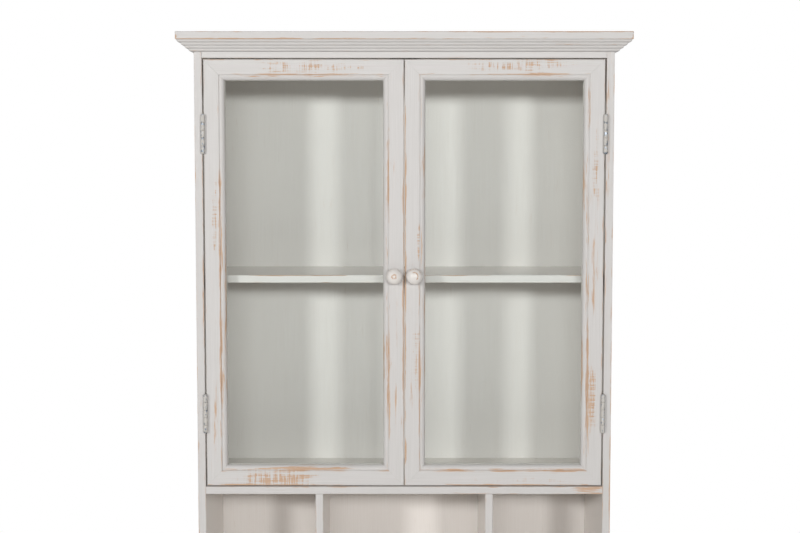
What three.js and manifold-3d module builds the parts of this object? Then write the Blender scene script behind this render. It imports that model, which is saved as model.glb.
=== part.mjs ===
// Free-standing apothecary cabinet: two glazed doors above three pigeonholes and three drawers.
// Millimetres, +Z up. The origin is on the floor under the middle of the cabinet and the doors
// face -Y. "left" and "right" are as seen by someone who stands in front of it.

import * as THREE from "three";
import { mergeVertices } from "three/addons/utils/BufferGeometryUtils.js";
import Module from "manifold-3d";

// ---- Carcass ---------------------------------------------------------------------------------
const BODY_WIDTH = 650;
const BODY_DEPTH = 225; // front edges of the sides to the rear face of the back panel
const BOARD = 12; // sides, shelves and dividers
const BACK_THICKNESS = 5;
const GLUE_LINE = 0.2; // left between two pieces that are glued or screwed together

// ---- Storeys, from the floor up --------------------------------------------------------------
const PLINTH_HEIGHT = 45;
const PLINTH_SETBACK = 8;
const DRAWER_BAY_HEIGHT = 120;
const PIGEONHOLE_HEIGHT = 150;
const DOOR_OPENING_HEIGHT = 671;
const SIDE_BAY_WIDTH = 173; // the outer two bays; the middle bay takes what is left

// ---- Shelf behind the doors ------------------------------------------------------------------
const SHELF_HEIGHT = 332; // top of the shelf above the sill
const SHELF_SETBACK = 34; // front edge of the shelf behind the front of the cabinet
const CLEAT_SECTION = 12;
const CLEAT_SETBACK = 10; // front end of a cleat behind the front edge of the shelf

// ---- Crown -----------------------------------------------------------------------------------
const TOP_REVEAL = 9.5; // part of the top board that shows below the moulding
const MOULDING_HEIGHT = 17.5;
const MOULDING_REACH = 23;
const MOULDING_TOE = 2; // thickness of the moulding at its lower edge
const REEDS = 4;
const REED_BULGE = 1.6;
const REED_STEPS = 4;
const CAP_THICKNESS = 12;
const CAP_OVERHANG = 25;

// ---- Doors -----------------------------------------------------------------------------------
const HINGE_GAP = 2.5; // between a door and the side that carries it
const SEAM = 1.6; // between the two doors
const DOOR_CLEARANCE = 2; // above and below a door
const DOOR_THICKNESS = 18;
const FRAME_WIDTH = 32; // outer edge of a stile or rail to the visible edge of the glass
const FRAME_FLAT = 23.5; // outer edge to the quirk beside the moulding
const QUIRK_WIDTH = 1.2;
const QUIRK_DEPTH = 1.8;
const MOULDING_DROP = 1; // highest line of the frame's moulding, below the flat
const MITRE_GAP = 0.3;
const GLASS_SETBACK = 9; // front of a stile to the front of the glass
const GLASS_THICKNESS = 3;
const REBATE_WIDTH = 7;
const GLASS_PLAY = 1; // all round the glass inside its rebate

// ---- Knobs -----------------------------------------------------------------------------------
const KNOB_HEIGHT = 334; // door knob's axis above the sill
const KNOB_INSET = 15; // door knob's axis from the meeting edge
const KNOB_RADIUS = 12.75;
const KNOB_LENGTH = 24;
const KNOB_HEAD_DEPTH = 19; // the rounded head, along the axis
const KNOB_FOOT_RADIUS = 6;
const KNOB_NECK_RADIUS = 5;
const BOLT_RADIUS = 2;
const BOLT_GRIP = 10; // length of bolt inside the knob
const BOLT_HEAD_RADIUS = 4;
const BOLT_HEAD_HEIGHT = 2.4;
const BOLT_CLEARANCE = 0.3;
const SPIGOT_RADIUS = 4; // glued into a drawer front
const SPIGOT_LENGTH = 8;

// ---- Butt hinges -----------------------------------------------------------------------------
const HINGE_LENGTH = 60;
const HINGE_INSET = 85; // end of a door to the near end of its hinge
const KNUCKLES = 5;
const KNUCKLE_RADIUS = 3.5;
const KNUCKLE_GAP = 0.3;
const KNUCKLE_WALL = 1.3; // how far a leaf reaches into its own knuckles
const PIN_RADIUS = 1.5;
const PIN_CLEARANCE = 0.08;
const PIN_HEAD_RADIUS = 2.6;
const PIN_HEAD_HEIGHT = 1;
const LEAF_THICKNESS = 0.9;
const LEAF_WIDTH = 13;

// ---- Magnetic catch --------------------------------------------------------------------------
const CATCH_WIDTH = 44;
const CATCH_DEPTH = 14;
const CATCH_HEIGHT = 13;
const CATCH_GAP = 0.5; // to the strike plates
const STRIKE_WIDTH = 13;
const STRIKE_HEIGHT = 12;
const STRIKE_THICKNESS = 1;
const STRIKE_INSET = 4; // from the meeting edge and from the top edge of a door

// ---- Drawers ---------------------------------------------------------------------------------
const DRAWER_GAP = 1.5; // round a drawer front
const FRONT_THICKNESS = 12;
const TRAY_SIDE_PLAY = 2;
const TRAY_LIFT = 0.5; // tray above the board that it slides on
const TRAY_HEIGHT = 98;
const TRAY_WALL = 8;
const TRAY_FLOOR = 4;
const TRAY_REAR_PLAY = 10;

// ---- Places worked out from the sizes above --------------------------------------------------
const OVERALL_DEPTH = BODY_DEPTH + CAP_OVERHANG;
const REAR = OVERALL_DEPTH / 2;
const FRONT = REAR - BODY_DEPTH;
const BACK_PANEL_FRONT = REAR - BACK_THICKNESS;
const BOARDS_REAR = BACK_PANEL_FRONT - GLUE_LINE;
const HALF_BODY = BODY_WIDTH / 2;
const HALF_OPENING = HALF_BODY - BOARD;
const HALF_SPAN = HALF_OPENING - GLUE_LINE; // half the length of a board between the sides

const BOTTOM_TOP = PLINTH_HEIGHT + BOARD;
const PIGEON_FLOOR_TOP = BOTTOM_TOP + DRAWER_BAY_HEIGHT + BOARD;
const SILL_TOP = PIGEON_FLOOR_TOP + PIGEONHOLE_HEIGHT + BOARD;
const OPENING_TOP = SILL_TOP + DOOR_OPENING_HEIGHT;
const SHELF_TOP = SILL_TOP + SHELF_HEIGHT;
const MOULDING_BOTTOM = OPENING_TOP + TOP_REVEAL;
const CAP_BOTTOM = MOULDING_BOTTOM + MOULDING_HEIGHT;

const DOOR_WIDTH = HALF_OPENING - HINGE_GAP - SEAM / 2;
const DOOR_HEIGHT = DOOR_OPENING_HEIGHT - 2 * DOOR_CLEARANCE;
const DOOR_BOTTOM = SILL_TOP + DOOR_CLEARANCE;
const PIN_X = HALF_OPENING - HINGE_GAP / 2;
const PIN_FORWARD = KNUCKLE_RADIUS + GLUE_LINE; // hinge pin in front of the cabinet's front

// ---- Finishes --------------------------------------------------------------------------------
function finish(color, roughness, metalness) {
  return new THREE.MeshStandardMaterial({ color, roughness, metalness });
}

const PAINT = finish(0xe3e0da, 0.75, 0);
const INSIDE_PAINT = finish(0xdedad0, 0.8, 0);
const BARE_WOOD = finish(0xd2b08c, 0.8, 0);
const ZINC = finish(0xb9bec2, 0.45, 0.8);
const STEEL = finish(0xa5a8aa, 0.35, 1);
const CATCH_PLASTIC = finish(0xf0ede6, 0.5, 0);
const GLASS = new THREE.MeshStandardMaterial({
  color: 0xdfe9e2,
  roughness: 0.05,
  metalness: 0,
  transparent: true,
  opacity: 0.3,
});

// ---- Building blocks -------------------------------------------------------------------------
const wasm = await Module();
wasm.setup();

const X = new THREE.Vector3(1, 0, 0);
const Y = new THREE.Vector3(0, 1, 0);
const Z = new THREE.Vector3(0, 0, 1);
const SIDES = { left: -1, right: 1 };

function named(name, geometry, material) {
  const mesh = new THREE.Mesh(geometry, material);
  mesh.name = name;
  return mesh;
}

// A box between a low and a high value on each axis, given in either order.
function boxGeometry([x0, x1], [y0, y1], [z0, z1]) {
  const size = [Math.abs(x1 - x0), Math.abs(y1 - y0), Math.abs(z1 - z0)];
  const geometry = new THREE.BoxGeometry(...size);
  return geometry.translate((x0 + x1) / 2, (y0 + y1) / 2, (z0 + z1) / 2);
}

function board(name, material, x, y, z) {
  const geometry = boxGeometry(x, y, z);
  geometry.computeBoundingBox();
  const centre = geometry.boundingBox.getCenter(new THREE.Vector3());
  const mesh = named(name, geometry.translate(-centre.x, -centre.y, -centre.z), material);
  mesh.position.copy(centre);
  return mesh;
}

function solid(geometry) {
  const bare = geometry.clone();
  bare.deleteAttribute("normal");
  bare.deleteAttribute("uv");
  const merged = mergeVertices(bare);
  const mesh = new wasm.Mesh({
    numProp: 3,
    vertProperties: merged.attributes.position.array,
    triVerts: new Uint32Array(merged.index.array),
  });
  return new wasm.Manifold(mesh);
}

function surface(body) {
  const { vertProperties, triVerts } = body.getMesh();
  const geometry = new THREE.BufferGeometry();
  geometry.setAttribute("position", new THREE.BufferAttribute(vertProperties, 3));
  geometry.setIndex(new THREE.BufferAttribute(triVerts, 1));
  geometry.computeVertexNormals();
  return geometry;
}

// A cylinder along local Y from `from` to `to`.
function rod(radius, from, to, segments) {
  const geometry = new THREE.CylinderGeometry(radius, radius, to - from, segments);
  return geometry.translate(0, (from + to) / 2, 0);
}

// Turns a mesh so that its local X and Y lie along `u` and `v`, and its local Z along u x v.
function place(mesh, origin, u, v) {
  const basis = new THREE.Matrix4().makeBasis(u, v, new THREE.Vector3().crossVectors(u, v));
  mesh.quaternion.setFromRotationMatrix(basis);
  mesh.position.copy(origin);
  return mesh;
}

// A length of moulding along local Z. Each end is cut at a slant: it moves by its slope times
// the profile's own X, so a slope of 1 or -1 is a mitre.
function moulding(profile, length, startSlope, endSlope) {
  const geometry = new THREE.ExtrudeGeometry(profile, {
    depth: length,
    bevelEnabled: false,
    curveSegments: 5,
  });
  const position = geometry.attributes.position;
  const pullBack = (MITRE_GAP / 2) * Math.SQRT2;
  for (let i = 0; i < position.count; i += 1) {
    const atStart = position.getZ(i) < length / 2;
    const slope = atStart ? startSlope : endSlope;
    const inward = slope === 0 ? 0 : pullBack;
    const end = atStart ? inward : length - inward;
    position.setZ(i, end + slope * position.getX(i));
  }
  return geometry;
}

// ---- Carcass ---------------------------------------------------------------------------------
function carcass() {
  const group = new THREE.Group();
  const depth = [FRONT, BOARDS_REAR];
  const span = [-HALF_SPAN, HALF_SPAN];
  for (const [side, sign] of Object.entries(SIDES)) {
    const x = [sign * HALF_OPENING, sign * HALF_BODY];
    group.add(board(`side_panel_${side}`, PAINT, x, depth, [0, CAP_BOTTOM - GLUE_LINE]));
  }
  const levels = {
    bottom_board: BOTTOM_TOP,
    pigeonhole_floor: PIGEON_FLOOR_TOP,
    sill_board: SILL_TOP,
    top_board: OPENING_TOP + BOARD,
  };
  for (const [name, top] of Object.entries(levels)) {
    group.add(board(name, PAINT, span, depth, [top - BOARD, top]));
  }
  const plinth = [FRONT + PLINTH_SETBACK, FRONT + PLINTH_SETBACK + BOARD];
  group.add(board("plinth_front", PAINT, span, plinth, [0, PLINTH_HEIGHT - GLUE_LINE]));
  const back = [BACK_PANEL_FRONT, REAR];
  const backHeight = [PLINTH_HEIGHT, CAP_BOTTOM - GLUE_LINE];
  group.add(board("back_panel", INSIDE_PAINT, [-HALF_BODY, HALF_BODY], back, backHeight));
  return group;
}

// Upright boards between the bays, in line with each other on both storeys.
function dividers() {
  const group = new THREE.Group();
  const storeys = {
    drawer_divider: [BOTTOM_TOP, DRAWER_BAY_HEIGHT],
    pigeonhole_divider: [PIGEON_FLOOR_TOP, PIGEONHOLE_HEIGHT],
  };
  const outer = HALF_OPENING - SIDE_BAY_WIDTH;
  for (const [name, [floor, height]] of Object.entries(storeys)) {
    const z = [floor + GLUE_LINE, floor + height - GLUE_LINE];
    for (const [side, sign] of Object.entries(SIDES)) {
      const x = [sign * outer, sign * (outer - BOARD)];
      group.add(board(`${name}_${side}`, PAINT, x, [FRONT, BOARDS_REAR], z));
    }
  }
  return group;
}

function shelf() {
  const group = new THREE.Group();
  const front = FRONT + SHELF_SETBACK;
  const x = [-HALF_SPAN, HALF_SPAN];
  group.add(board("shelf", PAINT, x, [front, BOARDS_REAR], [SHELF_TOP - BOARD, SHELF_TOP]));
  const cleatTop = SHELF_TOP - BOARD - GLUE_LINE;
  for (const [side, sign] of Object.entries(SIDES)) {
    const across = [sign * (HALF_SPAN - CLEAT_SECTION), sign * HALF_SPAN];
    const along = [front + CLEAT_SETBACK, BOARDS_REAR];
    const z = [cleatTop - CLEAT_SECTION, cleatTop];
    group.add(board(`shelf_cleat_${side}`, INSIDE_PAINT, across, along, z));
  }
  return group;
}

// ---- Crown: a reeded moulding, mitred at the front corners, under an overhanging cap ----------
function crownProfile() {
  const height = MOULDING_HEIGHT - GLUE_LINE;
  const foot = new THREE.Vector2(MOULDING_TOE, 0);
  const head = new THREE.Vector2(MOULDING_REACH, height);
  const slope = head.clone().sub(foot);
  const outward = new THREE.Vector2(slope.y, -slope.x).normalize();
  const profile = new THREE.Shape();
  profile.moveTo(0, 0);
  profile.lineTo(foot.x, foot.y);
  for (let step = 1; step < REEDS * REED_STEPS; step += 1) {
    const along = step / (REEDS * REED_STEPS);
    const swell = REED_BULGE * Math.sin(Math.PI * ((step % REED_STEPS) / REED_STEPS));
    const point = foot.clone().addScaledVector(slope, along).addScaledVector(outward, swell);
    profile.lineTo(point.x, point.y);
  }
  profile.lineTo(head.x, head.y);
  profile.lineTo(0, height);
  return profile;
}

function crown() {
  const group = new THREE.Group();
  const profile = crownProfile();
  const reach = HALF_BODY + GLUE_LINE;
  const front = FRONT - GLUE_LINE;
  const along = REAR - front;
  const frontPiece = named("cornice_front", moulding(profile, 2 * reach, -1, 1), PAINT);
  const leftPiece = named("cornice_left", moulding(profile, along, -1, 0), PAINT);
  const rightPiece = named("cornice_right", moulding(profile, along, 0, 1), PAINT);
  const corner = new THREE.Vector3(reach, front, MOULDING_BOTTOM);
  group.add(place(frontPiece, corner, Y.clone().negate(), Z));
  corner.x = -reach;
  group.add(place(leftPiece, corner, X.clone().negate(), Z));
  corner.set(reach, REAR, MOULDING_BOTTOM);
  group.add(place(rightPiece, corner, X, Z));
  const overhang = HALF_BODY + CAP_OVERHANG;
  const z = [CAP_BOTTOM, CAP_BOTTOM + CAP_THICKNESS];
  group.add(board("top_cap", PAINT, [-overhang, overhang], [-OVERALL_DEPTH / 2, REAR], z));
  return group;
}

// ---- Turned knob along local Y, which points away from the face that it is screwed to ---------
function knobProfile(root) {
  const headCentre = KNOB_LENGTH - KNOB_HEAD_DEPTH / 2;
  const halfDepth = KNOB_HEAD_DEPTH / 2;
  const points = [...root, new THREE.Vector2(KNOB_FOOT_RADIUS, GLUE_LINE)];
  points.push(new THREE.Vector2(KNOB_NECK_RADIUS, KNOB_LENGTH - KNOB_HEAD_DEPTH - 1));
  const steps = 9;
  const startAngle = -Math.PI / 3;
  for (let step = 0; step < steps; step += 1) {
    const angle = startAngle + ((Math.PI / 2 - startAngle) * step) / steps;
    const radius = KNOB_RADIUS * Math.cos(angle);
    points.push(new THREE.Vector2(radius, headCentre + halfDepth * Math.sin(angle)));
  }
  points.push(new THREE.Vector2(0, KNOB_LENGTH));
  return points;
}

function doorKnob() {
  const hole = BOLT_RADIUS + BOLT_CLEARANCE;
  const depth = BOLT_GRIP + BOLT_CLEARANCE + GLUE_LINE;
  const root = [
    new THREE.Vector2(0, depth),
    new THREE.Vector2(hole, depth),
    new THREE.Vector2(hole, GLUE_LINE),
  ];
  return new THREE.LatheGeometry(knobProfile(root), 20);
}

function drawerKnob() {
  const root = [
    new THREE.Vector2(0, -SPIGOT_LENGTH),
    new THREE.Vector2(SPIGOT_RADIUS, -SPIGOT_LENGTH),
    new THREE.Vector2(SPIGOT_RADIUS, GLUE_LINE),
  ];
  return new THREE.LatheGeometry(knobProfile(root), 20);
}

// Pan-head bolt along local Y: the head lies behind y = 0 and the shank runs forwards.
function boltGeometry(length) {
  const points = [
    new THREE.Vector2(0, -BOLT_HEAD_HEIGHT),
    new THREE.Vector2(0.7 * BOLT_HEAD_RADIUS, -BOLT_HEAD_HEIGHT),
    new THREE.Vector2(BOLT_HEAD_RADIUS, -0.5 * BOLT_HEAD_HEIGHT),
    new THREE.Vector2(BOLT_HEAD_RADIUS, 0),
    new THREE.Vector2(BOLT_RADIUS, 0),
    new THREE.Vector2(BOLT_RADIUS, length),
    new THREE.Vector2(0, length),
  ];
  return new THREE.LatheGeometry(points, 16);
}

// ---- Glazed door -----------------------------------------------------------------------------
// Section of a stile or rail: X runs from the outer edge towards the glass, Y from front to back.
function frameProfile() {
  const quirk = FRAME_FLAT + QUIRK_WIDTH;
  const lip = GLASS_SETBACK - QUIRK_DEPTH;
  const rebate = FRAME_WIDTH - REBATE_WIDTH;
  const profile = new THREE.Shape();
  profile.moveTo(0, 0);
  profile.lineTo(FRAME_FLAT, 0);
  profile.lineTo(FRAME_FLAT, QUIRK_DEPTH);
  profile.lineTo(quirk, QUIRK_DEPTH);
  profile.lineTo(quirk, MOULDING_DROP);
  profile.quadraticCurveTo(FRAME_WIDTH, MOULDING_DROP, FRAME_WIDTH, lip);
  profile.lineTo(FRAME_WIDTH, GLASS_SETBACK);
  profile.lineTo(rebate, GLASS_SETBACK);
  profile.lineTo(rebate, DOOR_THICKNESS);
  profile.lineTo(0, DOOR_THICKNESS);
  return profile;
}

// A flat picture-frame ring, extruded along local Z.
function ringGeometry(width, height, bar, depth) {
  const ring = new THREE.Shape();
  const hole = new THREE.Path();
  const trace = (path, w, h) => {
    path.moveTo(-w / 2, -h / 2);
    path.lineTo(w / 2, -h / 2);
    path.lineTo(w / 2, h / 2);
    path.lineTo(-w / 2, h / 2);
    path.closePath();
  };
  trace(ring, width, height);
  trace(hole, width - 2 * bar, height - 2 * bar);
  ring.holes.push(hole);
  return new THREE.ExtrudeGeometry(ring, { depth, bevelEnabled: false });
}

function door(side) {
  const prefix = `door_${side}`;
  const group = new THREE.Group();
  const left = side === "left" ? -HALF_OPENING + HINGE_GAP : SEAM / 2;
  group.position.set(left, FRONT, DOOR_BOTTOM);

  const profile = frameProfile();
  const stile = moulding(profile, DOOR_HEIGHT, 1, -1);
  const rail = moulding(profile, DOOR_WIDTH, 1, -1);
  const knobZ = KNOB_HEIGHT - DOOR_CLEARANCE;
  const knobAlong = side === "left" ? DOOR_HEIGHT - knobZ : knobZ;
  const drill = rod(BOLT_RADIUS + BOLT_CLEARANCE, -1, DOOR_THICKNESS + 1, 16);
  drill.translate(KNOB_INSET, 0, knobAlong);
  const drilledStile = surface(solid(stile).subtract(solid(drill)));
  const uprights = side === "left" ? ["hinge", "meeting"] : ["meeting", "hinge"];
  const shapes = { hinge: stile, meeting: drilledStile };

  const corner = new THREE.Vector3(0, 0, 0);
  const leftStile = named(`${prefix}_${uprights[0]}_stile`, shapes[uprights[0]], PAINT);
  group.add(place(leftStile, corner, X, Y));
  corner.set(DOOR_WIDTH, 0, DOOR_HEIGHT);
  const rightStile = named(`${prefix}_${uprights[1]}_stile`, shapes[uprights[1]], PAINT);
  group.add(place(rightStile, corner, X.clone().negate(), Y));
  corner.set(0, 0, DOOR_HEIGHT);
  group.add(place(named(`${prefix}_top_rail`, rail, PAINT), corner, Z.clone().negate(), Y));
  corner.set(DOOR_WIDTH, 0, 0);
  group.add(place(named(`${prefix}_bottom_rail`, rail, PAINT), corner, Z, Y));

  const edge = FRAME_WIDTH - REBATE_WIDTH;
  const paneInset = edge + GLASS_PLAY;
  const paneX = [paneInset, DOOR_WIDTH - paneInset];
  const paneZ = [paneInset, DOOR_HEIGHT - paneInset];
  const paneFront = GLASS_SETBACK + GLUE_LINE;
  const paneRear = paneFront + GLASS_THICKNESS;
  group.add(board(`${prefix}_glass`, GLASS, paneX, [paneFront, paneRear], paneZ));

  const beadWidth = DOOR_WIDTH - 2 * (edge + GLUE_LINE);
  const beadHeight = DOOR_HEIGHT - 2 * (edge + GLUE_LINE);
  const beadDepth = DOOR_THICKNESS - paneRear - GLUE_LINE;
  const bead = ringGeometry(beadWidth, beadHeight, REBATE_WIDTH - GLUE_LINE, beadDepth);
  corner.set(DOOR_WIDTH / 2, DOOR_THICKNESS, DOOR_HEIGHT / 2);
  group.add(place(named(`${prefix}_glazing_bead`, bead, PAINT), corner, X, Z));

  const knobX = side === "left" ? DOOR_WIDTH - KNOB_INSET : KNOB_INSET;
  const knob = named(`${prefix}_knob`, doorKnob(), PAINT);
  knob.position.set(knobX, 0, knobZ);
  knob.rotation.x = Math.PI;
  group.add(knob);
  const shank = DOOR_THICKNESS + GLUE_LINE + BOLT_GRIP;
  const bolt = named(`${prefix}_knob_screw`, boltGeometry(shank), STEEL);
  bolt.position.set(knobX, DOOR_THICKNESS + GLUE_LINE, knobZ);
  bolt.rotation.x = Math.PI;
  group.add(bolt);

  const meeting = side === "left" ? DOOR_WIDTH - STRIKE_INSET : STRIKE_INSET;
  const strikeX = [meeting, meeting + SIDES[side] * STRIKE_WIDTH];
  const strikeRear = DOOR_THICKNESS + GLUE_LINE;
  const strikeY = [strikeRear, strikeRear + STRIKE_THICKNESS];
  const strikeZ = [DOOR_HEIGHT - STRIKE_INSET - STRIKE_HEIGHT, DOOR_HEIGHT - STRIKE_INSET];
  group.add(board(`${prefix}_strike_plate`, ZINC, strikeX, strikeY, strikeZ));
  return group;
}

function magneticCatch() {
  const front = FRONT + DOOR_THICKNESS + GLUE_LINE + STRIKE_THICKNESS + CATCH_GAP;
  const x = [-CATCH_WIDTH / 2, CATCH_WIDTH / 2];
  const z = [OPENING_TOP - GLUE_LINE - CATCH_HEIGHT, OPENING_TOP - GLUE_LINE];
  return board("magnetic_catch", CATCH_PLASTIC, x, [front, front + CATCH_DEPTH], z);
}

// ---- Butt hinge: local origin on the pin's axis at the hinge's lower end ----------------------
function knuckleRange(index) {
  const pitch = HINGE_LENGTH / KNUCKLES;
  return [index * pitch + KNUCKLE_GAP / 2, (index + 1) * pitch - KNUCKLE_GAP / 2];
}

// One leaf: a plate, and every second knuckle from `first`, each joined to it by a tab.
function leafGeometry(towards, first) {
  const inner = HINGE_GAP / 2 - GLUE_LINE - LEAF_THICKNESS;
  const x = [towards * inner, towards * (inner + LEAF_THICKNESS)];
  const plateStart = KNUCKLE_RADIUS + KNUCKLE_GAP;
  const plateZ = [KNUCKLE_GAP / 2, HINGE_LENGTH - KNUCKLE_GAP / 2];
  let leaf = solid(boxGeometry(x, [plateStart, plateStart + LEAF_WIDTH], plateZ));
  const ring = new THREE.Shape();
  ring.absarc(0, 0, KNUCKLE_RADIUS, 0, 2 * Math.PI);
  const bore = new THREE.Path();
  bore.absarc(0, 0, PIN_RADIUS + PIN_CLEARANCE, 0, 2 * Math.PI);
  ring.holes.push(bore);
  for (let index = first; index < KNUCKLES; index += 2) {
    const z = knuckleRange(index);
    const settings = { depth: z[1] - z[0], bevelEnabled: false, curveSegments: 8 };
    const knuckle = new THREE.ExtrudeGeometry(ring, settings).translate(0, 0, z[0]);
    const tab = boxGeometry(x, [KNUCKLE_RADIUS - KNUCKLE_WALL, plateStart + 1], z);
    leaf = leaf.add(solid(knuckle)).add(solid(tab));
  }
  return surface(leaf);
}

function pinGeometry() {
  const top = HINGE_LENGTH + PIN_HEAD_HEIGHT;
  const points = [
    new THREE.Vector2(0, -PIN_HEAD_HEIGHT),
    new THREE.Vector2(PIN_HEAD_RADIUS, -PIN_HEAD_HEIGHT),
    new THREE.Vector2(PIN_HEAD_RADIUS, 0),
    new THREE.Vector2(PIN_RADIUS, 0),
    new THREE.Vector2(PIN_RADIUS, HINGE_LENGTH),
    new THREE.Vector2(PIN_HEAD_RADIUS, HINGE_LENGTH),
    new THREE.Vector2(PIN_HEAD_RADIUS, top),
    new THREE.Vector2(0, top),
  ];
  return new THREE.LatheGeometry(points, 16).rotateX(Math.PI / 2);
}

function hinge(side, level, bottom) {
  const name = `hinge_${side}_${level}`;
  const group = new THREE.Group();
  const sign = SIDES[side];
  group.position.set(sign * PIN_X, FRONT - PIN_FORWARD, bottom);
  group.add(named(`${name}_cabinet_leaf`, leafGeometry(sign, 0), ZINC));
  group.add(named(`${name}_door_leaf`, leafGeometry(-sign, 1), ZINC));
  group.add(named(`${name}_pin`, pinGeometry(), ZINC));
  return group;
}

// ---- Drawers ---------------------------------------------------------------------------------
function drawer(name, x0, x1) {
  const group = new THREE.Group();
  group.position.set((x0 + x1) / 2, FRONT, BOTTOM_TOP);
  const half = (x1 - x0) / 2;

  const frontX = [-half + DRAWER_GAP, half - DRAWER_GAP];
  const frontZ = [DRAWER_GAP, DRAWER_BAY_HEIGHT - DRAWER_GAP];
  const knobZ = DRAWER_BAY_HEIGHT / 2;
  const socket = rod(SPIGOT_RADIUS + GLUE_LINE, -1, SPIGOT_LENGTH + GLUE_LINE, 20);
  socket.translate(0, 0, knobZ);
  const plank = solid(boxGeometry(frontX, [0, FRONT_THICKNESS], frontZ));
  group.add(named(`${name}_front`, surface(plank.subtract(solid(socket))), PAINT));

  const outerHalf = half - TRAY_SIDE_PLAY;
  const start = FRONT_THICKNESS + GLUE_LINE;
  const end = BACK_PANEL_FRONT - TRAY_REAR_PLAY - FRONT;
  const top = TRAY_LIFT + TRAY_HEIGHT;
  const inner = outerHalf - TRAY_WALL;
  const block = boxGeometry([-outerHalf, outerHalf], [start, end], [TRAY_LIFT, top]);
  const room = [TRAY_LIFT + TRAY_FLOOR, top + 1];
  const hollow = boxGeometry([-inner, inner], [start + TRAY_WALL, end - TRAY_WALL], room);
  const tray = surface(solid(block).subtract(solid(hollow)));
  group.add(named(`${name}_tray`, tray, BARE_WOOD));

  const knob = named(`${name}_knob`, drawerKnob(), PAINT);
  knob.position.z = knobZ;
  knob.rotation.x = Math.PI;
  group.add(knob);
  return group;
}

// ---- Assembly --------------------------------------------------------------------------------
const cabinet = new THREE.Group();
cabinet.name = "apothecary_cabinet";
cabinet.add(carcass(), dividers(), shelf(), crown(), magneticCatch());
for (const side of Object.keys(SIDES)) {
  cabinet.add(door(side));
  cabinet.add(hinge(side, "lower", DOOR_BOTTOM + HINGE_INSET));
  cabinet.add(hinge(side, "upper", DOOR_BOTTOM + DOOR_HEIGHT - HINGE_INSET - HINGE_LENGTH));
}
const bayEdge = HALF_OPENING - SIDE_BAY_WIDTH;
cabinet.add(drawer("drawer_left", -HALF_OPENING, -bayEdge));
cabinet.add(drawer("drawer_middle", -bayEdge + BOARD, bayEdge - BOARD));
cabinet.add(drawer("drawer_right", bayEdge, HALF_OPENING));

export default cabinet;
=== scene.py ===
# Apothecary cabinet in brushed off-white paint over lime wood: two glazed doors, three
# pigeonholes and a row of small drawers. Metres, +Z up, the doors face -Y.
import math

import bpy
import numpy as np
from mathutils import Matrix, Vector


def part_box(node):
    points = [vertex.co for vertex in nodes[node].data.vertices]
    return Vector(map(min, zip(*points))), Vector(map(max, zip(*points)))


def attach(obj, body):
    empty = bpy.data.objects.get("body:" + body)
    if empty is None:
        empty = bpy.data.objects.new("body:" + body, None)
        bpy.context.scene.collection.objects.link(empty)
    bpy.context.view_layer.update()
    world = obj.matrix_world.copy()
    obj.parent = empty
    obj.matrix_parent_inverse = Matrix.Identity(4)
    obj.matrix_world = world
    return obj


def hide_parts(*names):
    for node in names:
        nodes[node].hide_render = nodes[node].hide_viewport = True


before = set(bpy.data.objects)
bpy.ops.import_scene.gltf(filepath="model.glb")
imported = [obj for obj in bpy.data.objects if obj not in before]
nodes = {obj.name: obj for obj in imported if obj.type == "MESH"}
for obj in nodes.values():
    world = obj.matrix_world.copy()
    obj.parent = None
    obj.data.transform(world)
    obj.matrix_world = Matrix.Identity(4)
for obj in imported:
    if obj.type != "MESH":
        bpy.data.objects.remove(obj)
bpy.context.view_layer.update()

# ---- Camera ----------------------------------------------------------------------------------
# A lens of moderate length on a tripod in front of the doors, a little above their middle and
# tipped slightly down, so that the tops of the shelf and of the sill show.
CAMERA_LENS_MM = 65.0
CAMERA_DISTANCE = 2.247
CAMERA_HEIGHT = 0.8675
CAMERA_SIDE = -0.0066
CAMERA_TILT = math.radians(4.28)

front_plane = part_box("side_panel_left")[0].y
camera_data = bpy.data.cameras.new("camera")
camera_data.lens = CAMERA_LENS_MM
camera_data.sensor_width = 36.0
camera_data.sensor_fit = "HORIZONTAL"
camera = bpy.data.objects.new("camera", camera_data)
camera.location = (CAMERA_SIDE, front_plane - CAMERA_DISTANCE, CAMERA_HEIGHT)
camera.rotation_euler = (math.pi / 2 - CAMERA_TILT, 0.0, 0.0)
bpy.context.scene.collection.objects.link(camera)
bpy.context.scene.camera = camera
bpy.context.scene.view_settings.view_transform = "Standard"

# ---- Studio ----------------------------------------------------------------------------------
# Soft boxes to the left and right of the camera and a wide one over it, a dim white room with lit
# paper behind the cabinet, and a pale floor.


def linear(hex_colour, alpha=1.0):
    """sRGB hex to linear: a channel c is c / 12.92 up to 0.04045, and above that it is
    ((c + 0.055) / 1.055) ** 2.4."""
    channels = np.array([int(hex_colour[i : i + 2], 16) for i in (1, 3, 5)]) / 255.0
    bright = ((channels + 0.055) / 1.055) ** 2.4
    values = np.where(channels <= 0.04045, channels / 12.92, bright)
    return (*values.tolist(), alpha)


def node(tree, kind, settings=None, **inputs):
    """Adds one shader node. settings are its properties. inputs are its sockets, by name or as i and
    an index, each given a value or a link."""
    made = tree.nodes.new(kind)
    for key, value in (settings or {}).items():
        setattr(made, key, value)
    for key, value in inputs.items():
        by_index = key[0] == "i" and key[1:].isdigit()
        socket = made.inputs[int(key[1:]) if by_index else key.replace("_", " ")]
        if isinstance(value, bpy.types.NodeSocket):
            tree.links.new(value, socket)
        else:
            socket.default_value = value
    return made


def ranged(tree, value, source=(0.0, 1.0), target=(0.0, 1.0), blend="LINEAR"):
    """Maps a value from the source range to the target range, and holds it at both ends."""
    settings = {"interpolation_type": blend}
    made = node(tree, "ShaderNodeMapRange", settings, Value=value, From_Min=source[0],
                From_Max=source[1], To_Min=target[0], To_Max=target[1])
    return made.outputs[0]


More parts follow.
